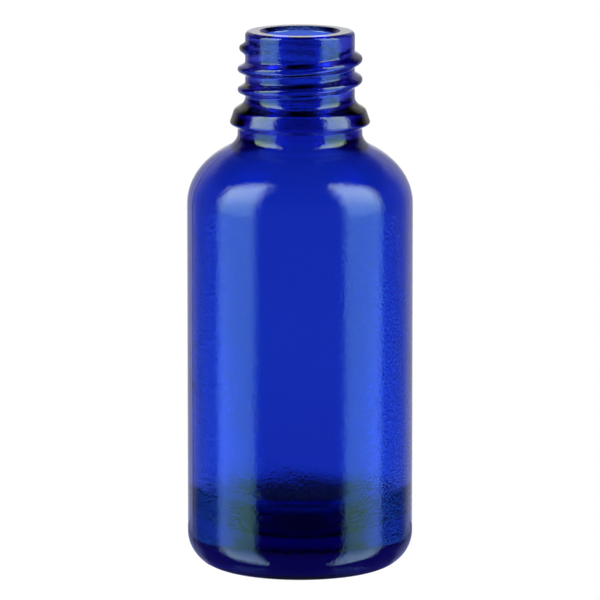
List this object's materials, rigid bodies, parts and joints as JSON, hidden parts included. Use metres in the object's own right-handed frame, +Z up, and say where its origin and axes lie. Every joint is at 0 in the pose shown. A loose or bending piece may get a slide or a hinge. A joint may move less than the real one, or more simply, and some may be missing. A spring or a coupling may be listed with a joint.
{
  "type": "medicine bottle",
  "caption": "Round cobalt glass dropper bottle with a sloping shoulder, a beaded neck, an external screw thread and an open mouth.",
  "frame": {"origin": "centre of the base, on the surface that the bottle stands on", "axes": "+Z up the bottle's axis to the mouth; +Y away from the viewer of the front, +X to that viewer's right"},
  "size_m": [0.033, 0.033, 0.079],
  "materials": {
    "cobalt_glass": "clear, polished, moulded"
  },
  "bodies": {
    "root": {"glass_bottle": "cobalt_glass"}
  },
  "joints": []
}
